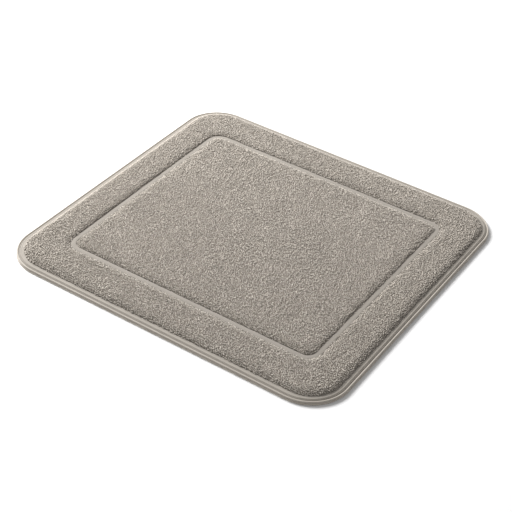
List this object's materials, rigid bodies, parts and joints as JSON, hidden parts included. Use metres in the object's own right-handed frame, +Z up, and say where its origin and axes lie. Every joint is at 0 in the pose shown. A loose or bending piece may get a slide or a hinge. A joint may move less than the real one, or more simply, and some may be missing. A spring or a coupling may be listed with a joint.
{
  "type": "bath mat",
  "caption": "Low rounded-rectangle foam bath mat with a pressed channel round its centre panel, a piped rim and a dotted non-slip base.",
  "frame": {"origin": "on the floor under the middle of the mat's outline", "axes": "+Z up out of the pile, +X along the longer side, +Y towards the back edge"},
  "size_m": [0.5, 0.48, 0.0105],
  "materials": {
    "fleece": "short matt plush pile",
    "foam": "open-cell foam",
    "piping_fabric": "smooth pressed fabric with a soft sheen",
    "filler_cord": "twisted cotton",
    "base_fabric": "matt woven backing",
    "binding_tape": "ribbed woven tape",
    "grip_compound": "moulded soft dots, satin",
    "thread": "spun sewing thread",
    "label_satin": "blank woven satin"
  },
  "bodies": {
    "root": {"pile_cover": "fleece", "foam_core": "foam", "edge_piping": "piping_fabric", "piping_cord": "filler_cord", "base_cloth": "base_fabric", "base_binding": "binding_tape", "grip_dots": "grip_compound", "seam_thread_top": "thread", "seam_thread_under": "thread", "care_label": "label_satin"}
  },
  "joints": []
}
